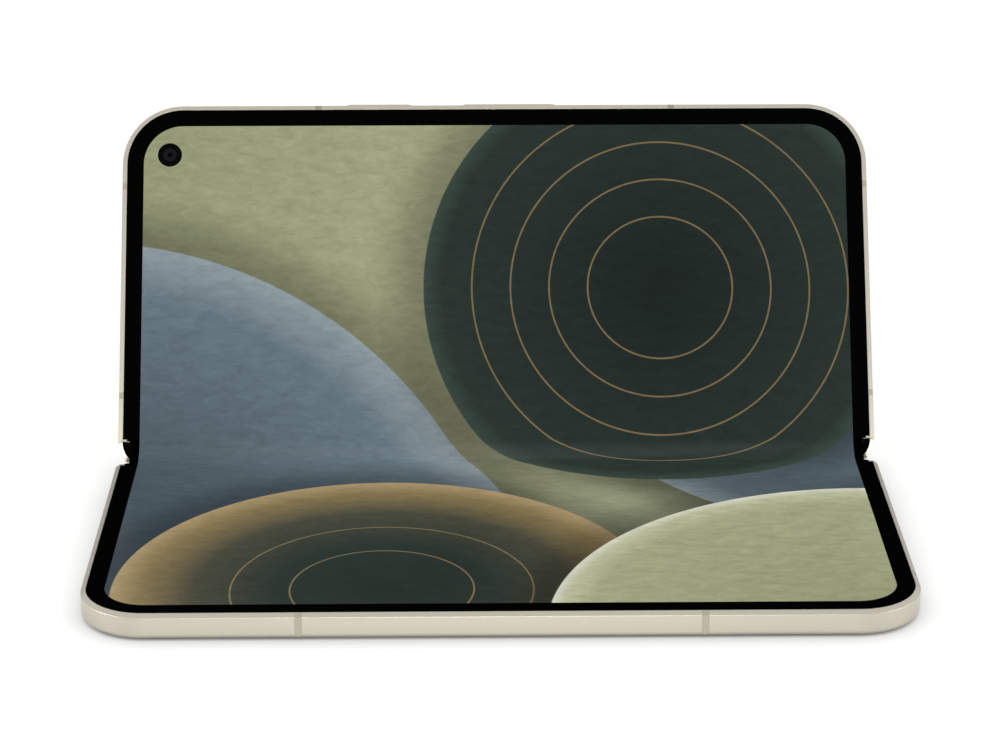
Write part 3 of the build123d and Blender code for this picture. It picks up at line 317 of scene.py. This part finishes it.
def lit_screen():
    """Switched-on flexible display: a dark film with a faint sheen, whose picture gives its own light.

    The picture is five overlapping paper discs on a sage sheet, drawn on the unfolded screen. They
    have soft shadows under their edges and a fine paper fibre.
    """
    material = new_material("lit_screen", Base_Color="#020202", Roughness=0.3, IOR=1.45,
                            Emission_Strength=1.0)
    place = node(material, "ShaderNodeUVMap", uv_map="screen").outputs["UV"]
    scaled = node(material, "ShaderNodeVectorMath", {0: place, "Scale": 100.0}, operation="SCALE")
    cm = scaled.outputs["Vector"]
    parts = node(material, "ShaderNodeSeparateXYZ", {"Vector": cm})

    along = node(material, "ShaderNodeMapRange", {
        "Value": parts.outputs["X"], "From Min": -SHEET_REACH, "From Max": SHEET_REACH}).outputs["Result"]
    colour = node(material, "ShaderNodeValToRGB", {"Fac": along}, SHEET).outputs["Color"]
    for centre, radius, rings, stops in DISCS:
        away = node(material, "ShaderNodeVectorMath", {0: cm, 1: (*centre, 0.0)},
                    operation="DISTANCE").outputs["Value"]
        shadow = node(material, "ShaderNodeMapRange", {
            "Value": away, "From Min": radius, "From Max": radius + SHADOW_REACH,
            "To Min": SHADOW_DEPTH, "To Max": 1.0}, interpolation_type="SMOOTHSTEP").outputs["Result"]
        shaded = node(material, "ShaderNodeVectorMath", {0: colour, "Scale": shadow}, operation="SCALE")
        depth = node(material, "ShaderNodeMapRange", {
            "Value": away, "From Min": radius, "From Max": 0.0}).outputs["Result"]
        paper = node(material, "ShaderNodeValToRGB", {"Fac": depth}, stops).outputs["Color"]
        for ring in rings:
            on_line = node(material, "ShaderNodeMath", {0: away, 1: ring, 2: RING_WIDTH}, operation="COMPARE")
            line = node(material, "ShaderNodeMath", {0: on_line.outputs["Value"], 1: RING_STRENGTH},
                        operation="MULTIPLY").outputs["Value"]
            paper = node(material, "ShaderNodeMix", {
                MIX_SHARE: line, MIX_FIRST: paper, MIX_SECOND: linear(RING_COLOUR)},
                data_type="RGBA").outputs[MIX_RESULT]
        inside = node(material, "ShaderNodeMapRange", {
            "Value": away, "From Min": radius + EDGE_BLUR, "From Max": radius - EDGE_BLUR}).outputs["Result"]
        colour = node(material, "ShaderNodeMix", {
            MIX_SHARE: inside, MIX_FIRST: shaded.outputs["Vector"], MIX_SECOND: paper},
            data_type="RGBA").outputs[MIX_RESULT]

    # Paper fibre, longer one way than the other
    stretched = node(material, "ShaderNodeMapping", {
        "Vector": cm, "Rotation": (0, 0, 0.4), "Scale": (1.0, 2.6, 1.0)}).outputs["Vector"]
    fibre = node(material, "ShaderNodeTexNoise", {
        "Vector": stretched, "Scale": 2.2, "Detail": 7.0, "Roughness": 0.68,
        "Distortion": 0.8}).outputs["Fac"]
    shade = node(material, "ShaderNodeMapRange", {
        "Value": fibre, "From Min": 0.3, "From Max": 0.7, "To Min": 0.84, "To Max": 1.14}).outputs["Result"]

    # The strip beside the picture, at both ends of the fold, stays dark.
    width = node(material, "ShaderNodeMath", {0: parts.outputs["X"]}, operation="ABSOLUTE").outputs["Value"]
    lit = node(material, "ShaderNodeMath", {
        0: width, 1: (HALF_WIDTH - RIM_WIDTH - BEZEL_WIDTH) / 10}, operation="LESS_THAN").outputs["Value"]
    level = node(material, "ShaderNodeMath", {0: shade, 1: lit}, operation="MULTIPLY").outputs["Value"]
    final = node(material, "ShaderNodeVectorMath", {0: colour, "Scale": level}, operation="SCALE")
    feed(material, final.outputs["Vector"], "Emission Color")

    # The film is stretched over the bend and loses some of its anti-glare coat there: a faint pale band.
    reach = node(material, "ShaderNodeMath", {0: parts.outputs["Y"]}, operation="ABSOLUTE").outputs["Value"]
    sheen = node(material, "ShaderNodeMapRange", {
        "Value": reach, "From Min": 0.1, "From Max": 0.42, "To Min": 0.2, "To Max": 0.03},
        interpolation_type="SMOOTHSTEP").outputs["Result"]
    gloss = node(material, "ShaderNodeMath", {0: sheen, 1: lit}, operation="MULTIPLY").outputs["Value"]
    feed(material, gloss, "Specular IOR Level")
    return material


picture = lit_screen()

SLOT_FINISH = {
    "aluminium_frame": blasted_aluminium,
    "antenna_plastic": antenna_plastic,
    "bezel_black": border_black,
    "screen": picture,
    "cover_glass": black_glass,
    "back_glass": frosted_glass,
    "lens_glass": coated_lens,
    "plate": sheet_aluminium,
    "steel": bare_steel,
    "spine_metal": dark_metal,
    "camera_black": matt_black_plastic,
    "board": circuit_board,
    "battery": battery_wrap,
    "copper": copper_winding,
    "magnet": nickel_plate,
    "flash_lens": flash_lens,
}
NODE_FINISH = {"inner_camera_window": inner_camera_glass, "rear_camera_windows": rear_camera_glass}
for part in frame["record"]["subparts"]:
    finish = NODE_FINISH.get(part["node"], SLOT_FINISH[part["material_slot"]])
    for holder in frame["nodes"][part["node"]].material_slots:
        holder.material = finish


# ---------------------------------------------------------------- screen
def half_outline(inset, near):
    """Plan outline of one half in mm, inset from its edge: square at the fold, round at the far corners."""
    radius = CORNER_RADIUS - inset
    corner_x = HALF_WIDTH - CORNER_RADIUS
    corner_y = HALF_LENGTH - CORNER_RADIUS
    points = [(HALF_WIDTH - inset, near)]
    for side, start in ((1, 0.0), (-1, math.pi / 2)):
        for i in range(CORNER_STEPS + 1):
            angle = start + math.pi / 2 * i / CORNER_STEPS
            points.append((side * corner_x + radius * math.cos(angle), corner_y + radius * math.sin(angle)))
    points.append((-(HALF_WIDTH - inset), near))
    return points


# The bend is an arc centred over the spine. It meets both flat halves without a kink.
turn_sin, turn_cos = math.sin(HALF_TURN), math.cos(HALF_TURN)
rise = SCREEN_TOP - AXIS_HEIGHT
BEND_RADIUS = (AXIS_OFFSET * turn_sin + rise * (turn_cos - 1)) / (1 - turn_cos)
BEND_HEIGHT = SCREEN_TOP + BEND_RADIUS
BEND_NEAR = AXIS_OFFSET - AXIS_OFFSET * turn_cos + (BEND_HEIGHT - AXIS_HEIGHT) * turn_sin


def flat_screen(name, matrix, mirrored, body, node_name, holes=()):
    """Flat part of the screen in one half, down to its edges under the bezel."""
    data = bmesh.new()
    edges = []
    for loop in [half_outline(PANEL_INSET, BEND_NEAR), *holes]:
        ring = [data.verts.new((x, y, SCREEN_TOP)) for x, y in loop]
        edges += [data.edges.new(pair) for pair in zip(ring, ring[1:] + ring[:1])]
    filled = bmesh.ops.triangle_fill(data, use_beauty=True, edges=edges)
    top = [part for part in filled["geom"] if isinstance(part, bmesh.types.BMFace)]
    side = bmesh.ops.extrude_face_region(data, geom=top)
    moved = [v for v in side["geom"] if isinstance(v, bmesh.types.BMVert)]
    bmesh.ops.translate(data, verts=moved, vec=(0, 0, -SCREEN_THICKNESS))
    bmesh.ops.recalc_face_normals(data, faces=data.faces)
    sign = -1 if mirrored else 1
    layer = data.loops.layers.uv.new("screen")
    for face in data.faces:
        for loop in face.loops:
            loop[layer].uv = (sign * loop.vert.co.x * MM, sign * loop.vert.co.y * MM)
    piece = new_piece(name, data, matrix, picture)
    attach(piece, body)
    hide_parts(node_name)
    return piece


def fold_sheet(name, side):
    """Half of the screen's bend: side -1 reaches the base half, +1 the lid half."""
    data = bmesh.new()
    layer = data.loops.layers.uv.new("screen")
    width = HALF_WIDTH - PANEL_INSET
    rows = []
    for i in range(BEND_STEPS + 1):
        share = i / BEND_STEPS
        angle = side * HALF_TURN * share
        flat_y = side * BEND_NEAR * share
        row = []
        for radius in (BEND_RADIUS, BEND_RADIUS + SCREEN_THICKNESS):
            y, z = radius * math.sin(angle), BEND_HEIGHT - radius * math.cos(angle)
            row.append([data.verts.new((x, y, z)) for x in (-width, width)])
        rows.append((row, flat_y))
    for (a, flat_a), (b, flat_b) in zip(rows, rows[1:]):
        flats = {v: flat for row, flat in ((a, flat_a), (b, flat_b)) for pair in row for v in pair}
        loop_sets = [
            (a[0][0], a[0][1], b[0][1], b[0][0]),
            (a[1][1], a[1][0], b[1][0], b[1][1]),
            (a[0][1], a[1][1], b[1][1], b[0][1]),
            (a[1][0], a[0][0], b[0][0], b[1][0]),
        ]
        for corners in loop_sets:
            face = data.faces.new(corners)
            for loop in face.loops:
                loop[layer].uv = (loop.vert.co.x * MM, flats[loop.vert] * MM)
    bmesh.ops.recalc_face_normals(data, faces=data.faces)
    piece = new_piece(name, data, SPINE, picture, smooth=True)
    for face in piece.data.polygons:
        face.use_smooth = abs(face.normal.x) < 0.5
    if side < 0:
        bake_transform(piece)
    else:
        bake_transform(piece)
    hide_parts("display_fold")
    return piece


camera_hole = [(HOLE_X + HOLE_RADIUS * math.cos(math.tau * i / HOLE_STEPS),
                HOLE_REACH + HOLE_RADIUS * math.sin(math.tau * i / HOLE_STEPS)) for i in range(HOLE_STEPS)]
screens = [
    flat_screen("base_screen", BASE, True, "base", "base_screen_panel"),
    flat_screen("lid_screen", LID, False, "lid", "lid_screen_panel", [camera_hole]),
    fold_sheet("base_side_bend", -1),
    fold_sheet("lid_side_bend", 1),
]


# ---------------------------------------------------------------- table and cards
def new_plane(name, size, matrix, material):
    """Square of the studio, size mm from its middle to each edge."""
    data = bmesh.new()
    bmesh.ops.create_grid(data, x_segments=1, y_segments=1, size=size)
    return new_piece(name, data, matrix, material)


def lit_table():
    """White sheet glowing like a stand lit from below, darkened by the phone's shadow and a painted contact
    shadow.
    """
    material = new_material("white_table", Base_Color="#bababa", Roughness=0.9, Specular_IOR_Level=0.0,
                            Emission_Strength=0.56)
    # Painted contact shadow: an occlusion mask dims the glow within 9 mm of anything standing on the table.
    painted_contact_shadow = node(material, "ShaderNodeAmbientOcclusion", {"Distance": 9 * MM}, samples=6)
    feed(material, painted_contact_shadow.outputs["Color"], "Emission Color")
    return material


TABLE_SIZE = 6000
TABLE_DROP = 0.02          # under the phone, so that no two faces share a plane
table = new_plane("table", TABLE_SIZE, Matrix.Translation((0, 0, -TABLE_DROP)), lit_table())

# Dark cards far behind, left and right: the bevels on the base's ends lean their reflection onto them.
# Black card, matt: it gives nothing back.
CARD_SIZE = 170
CARD_ACROSS, CARD_BEHIND = 400, 830
card_black = new_material("card_black", Base_Color="#101010", Roughness=0.9, Specular_IOR_Level=0.0)
for side in (-1, 1):
    standing = Matrix.Translation((side * CARD_ACROSS, CARD_BEHIND, CARD_SIZE + 1))
    card = new_plane("dark_card", CARD_SIZE, standing @ Matrix.Rotation(math.pi / 2, 4, "X"), card_black)
    card.visible_camera = False

# ---------------------------------------------------------------- light
world = bpy.data.worlds.new("studio")
bpy.context.scene.world = world
world.use_nodes = True
background = world.node_tree.nodes["Background"]
background.inputs["Color"].default_value = (1, 1, 1, 1)
background.inputs["Strength"].default_value = 1.0


def soft_box(name, place, target, size, power):
    """Rectangular lamp, aimed at a point; mm and watts."""
    light = bpy.data.lights.new(name, "AREA")
    light.shape = "RECTANGLE"
    light.size, light.size_y = size[0] * MM, size[1] * MM
    light.energy = power
    lamp = bpy.data.objects.new(name, light)
    bpy.context.scene.collection.objects.link(lamp)
    lamp.location = Vector(place) * MM
    lamp.rotation_euler = (Vector(target) - Vector(place)).to_track_quat("-Z", "Y").to_euler()
    return lamp


def shield(lamp, pieces):
    """Keep a lamp's light off some pieces, as a studio flag does."""
    shielded = bpy.data.collections.new(lamp.name + " shield")
    for piece in pieces:
        shielded.objects.link(piece)
    for member in shielded.collection_objects:
        member.light_linking.link_state = "EXCLUDE"
    lamp.light_linking.receiver_collection = shielded


# Low strips just above the table: the upright walls of the frame lean their reflection down onto the
# table, so only a light close to it brightens them. Screens and glass are shielded from them, and show the
# white room alone.
strips = [
    soft_box("front strip", (0, -330, 36), (0, -40, 6), (130, 60), 0.54),
    soft_box("left strip", (-260, -102, 24), (-75, -35, 3), (200, 48), 0.28),
    soft_box("right strip", (260, -102, 24), (75, -35, 3), (200, 48), 0.28),
]
GLASS_SLOTS = ("cover_glass", "back_glass", "lens_glass")
glass = [frame["nodes"][part["node"]] for part in frame["record"]["subparts"]
         if part["material_slot"] in GLASS_SLOTS]
for strip in strips:
    shield(strip, glass + screens)

# ---------------------------------------------------------------- camera
LENS_MM, SENSOR_MM = 103.74, 36.0
CAMERA_PLACE = (-6.71, -546.47 + HALF_LENGTH / 2, 230.95)
CAMERA_DOWN, CAMERA_YAW = 20.862, 0.768
CLIP_START = 10            # mm
camera_data = bpy.data.cameras.new("camera")
camera_data.sensor_fit = "HORIZONTAL"
camera_data.sensor_width = SENSOR_MM
camera_data.lens = LENS_MM
camera_data.clip_start = CLIP_START * MM
camera = bpy.data.objects.new("camera", camera_data)
camera.location = Vector(CAMERA_PLACE) * MM
camera.rotation_euler = (math.radians(90 - CAMERA_DOWN), 0, math.radians(-CAMERA_YAW))
bpy.context.scene.collection.objects.link(camera)
bpy.context.scene.camera = camera
bpy.context.scene.view_settings.view_transform = "Standard"
